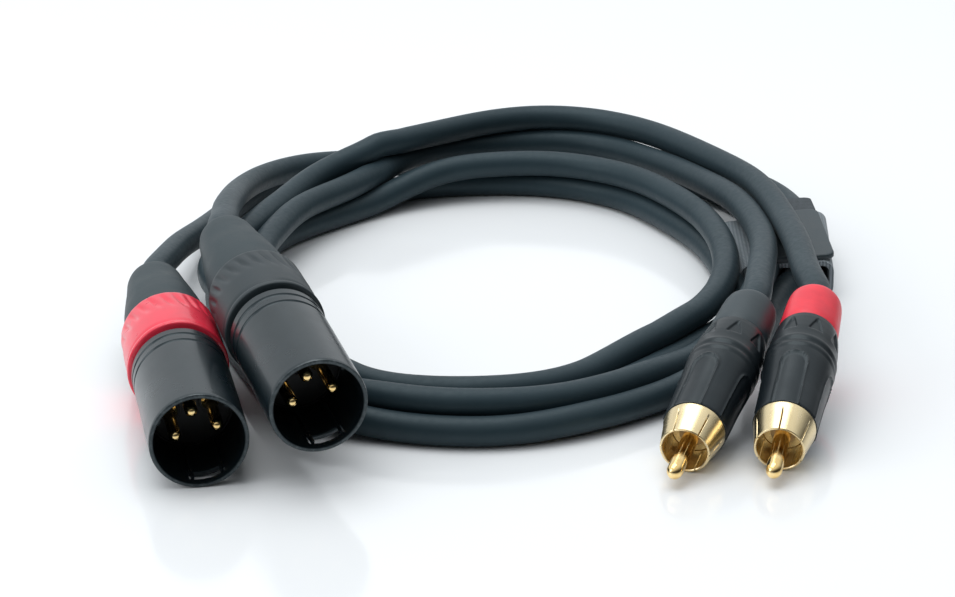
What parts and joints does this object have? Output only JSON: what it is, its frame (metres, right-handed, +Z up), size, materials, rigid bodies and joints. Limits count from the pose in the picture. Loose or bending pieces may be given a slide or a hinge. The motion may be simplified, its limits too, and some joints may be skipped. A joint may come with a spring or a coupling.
{
  "type": "audio cable coil",
  "caption": "Paired audio leads wound into an oval coil, three-pole male plugs on one end and phono plugs on the other, held by a flat strap.",
  "frame": {"origin": "on the supporting surface, under the middle of the box of the plugs and the strap", "axes": "+Z up, -Y towards the plugs' mouths, +X from the three-pole plugs towards the phono plugs"},
  "size_m": [0.1522, 0.2127, 0.0309],
  "materials": {
    "shell_lacquer": "satin black lacquer on turned metal, worn grey on the rim's edge",
    "insert_plastic": "moulded black, matt",
    "contact_gold": "gold plated, polished",
    "phono_gold": "gold plated, fine turned satin",
    "phono_insulator": "amber moulded insulator",
    "chuck_plastic": "white moulded clamp",
    "clamp_steel": "plated crimp",
    "ring_black": "satin black moulding",
    "ring_red": "red moulding, soft gloss",
    "boot_rubber": "matt elastomer",
    "cable_jacket": "flexible jacket, satin slate black",
    "barrel_lacquer": "satin black lacquer",
    "cap_black": "matt black moulding",
    "cap_red": "red moulding, soft gloss",
    "strap_band": "pale grey woven strap",
    "strap_plate": "moulded dark end",
    "strap_flap": "dark woven loose end"
  },
  "bodies": {
    "cable_set": {"xlr_black_shell": "shell_lacquer", "xlr_black_insert": "insert_plastic", "xlr_black_pin_1": "contact_gold", "xlr_black_pin_2": "contact_gold", "xlr_black_pin_3": "contact_gold", "xlr_black_chuck": "chuck_plastic", "xlr_black_cable_end": "cable_jacket", "xlr_red_shell": "shell_lacquer", "xlr_red_insert": "insert_plastic", "xlr_red_pin_1": "contact_gold", "xlr_red_pin_2": "contact_gold", "xlr_red_pin_3": "contact_gold", "xlr_red_chuck": "chuck_plastic", "xlr_red_cable_end": "cable_jacket", "rca_black_shield": "phono_gold", "rca_black_pin": "contact_gold", "rca_black_insulator": "phono_insulator", "rca_black_clamp": "clamp_steel", "rca_black_cable_end": "cable_jacket", "rca_red_shield": "phono_gold", "rca_red_pin": "contact_gold", "rca_red_insulator": "phono_insulator", "rca_red_clamp": "clamp_steel", "rca_red_cable_end": "cable_jacket", "cable_coil": "cable_jacket", "lead_xlr_black": "cable_jacket", "lead_xlr_red": "cable_jacket", "lead_rca_black": "cable_jacket", "lead_rca_red": "cable_jacket", "strap_band": "strap_band", "strap_plate": "strap_plate", "strap_flap": "strap_flap"},
    "xlr_black_nut": {"xlr_black_ring": "ring_black", "xlr_black_boot": "boot_rubber"},
    "xlr_red_nut": {"xlr_red_ring": "ring_red", "xlr_red_boot": "boot_rubber"},
    "rca_black_sleeve": {"rca_black_barrel": "barrel_lacquer", "rca_black_cap": "cap_black"},
    "rca_red_sleeve": {"rca_red_barrel": "barrel_lacquer", "rca_red_cap": "cap_red"}
  },
  "joints": [
    {"name": "xlr_black_nut_turn", "type": "hinge", "parent": "cable_set", "child": "xlr_black_nut", "pos_m": [-0.04365, -0.03276, 0.02015], "axis": [-0.2814, 0.9559, 0.0837], "range_deg": [0, 1080]},
    {"name": "xlr_red_nut_turn", "type": "hinge", "parent": "cable_set", "child": "xlr_red_nut", "pos_m": [-0.06266, -0.03109, 0.01097], "axis": [-0.1941, 0.9803, 0.0366], "range_deg": [0, 1080]},
    {"name": "rca_black_sleeve_turn", "type": "hinge", "parent": "cable_set", "child": "rca_black_sleeve", "pos_m": [0.04264, -0.04499, 0.00937], "axis": [0.317, 0.9205, 0.2284], "range_deg": [0, 1080]},
    {"name": "rca_red_sleeve_turn", "type": "hinge", "parent": "cable_set", "child": "rca_red_sleeve", "pos_m": [0.05874, -0.04378, 0.00954], "axis": [0.2219, 0.9459, 0.2368], "range_deg": [0, 1080]}
  ]
}
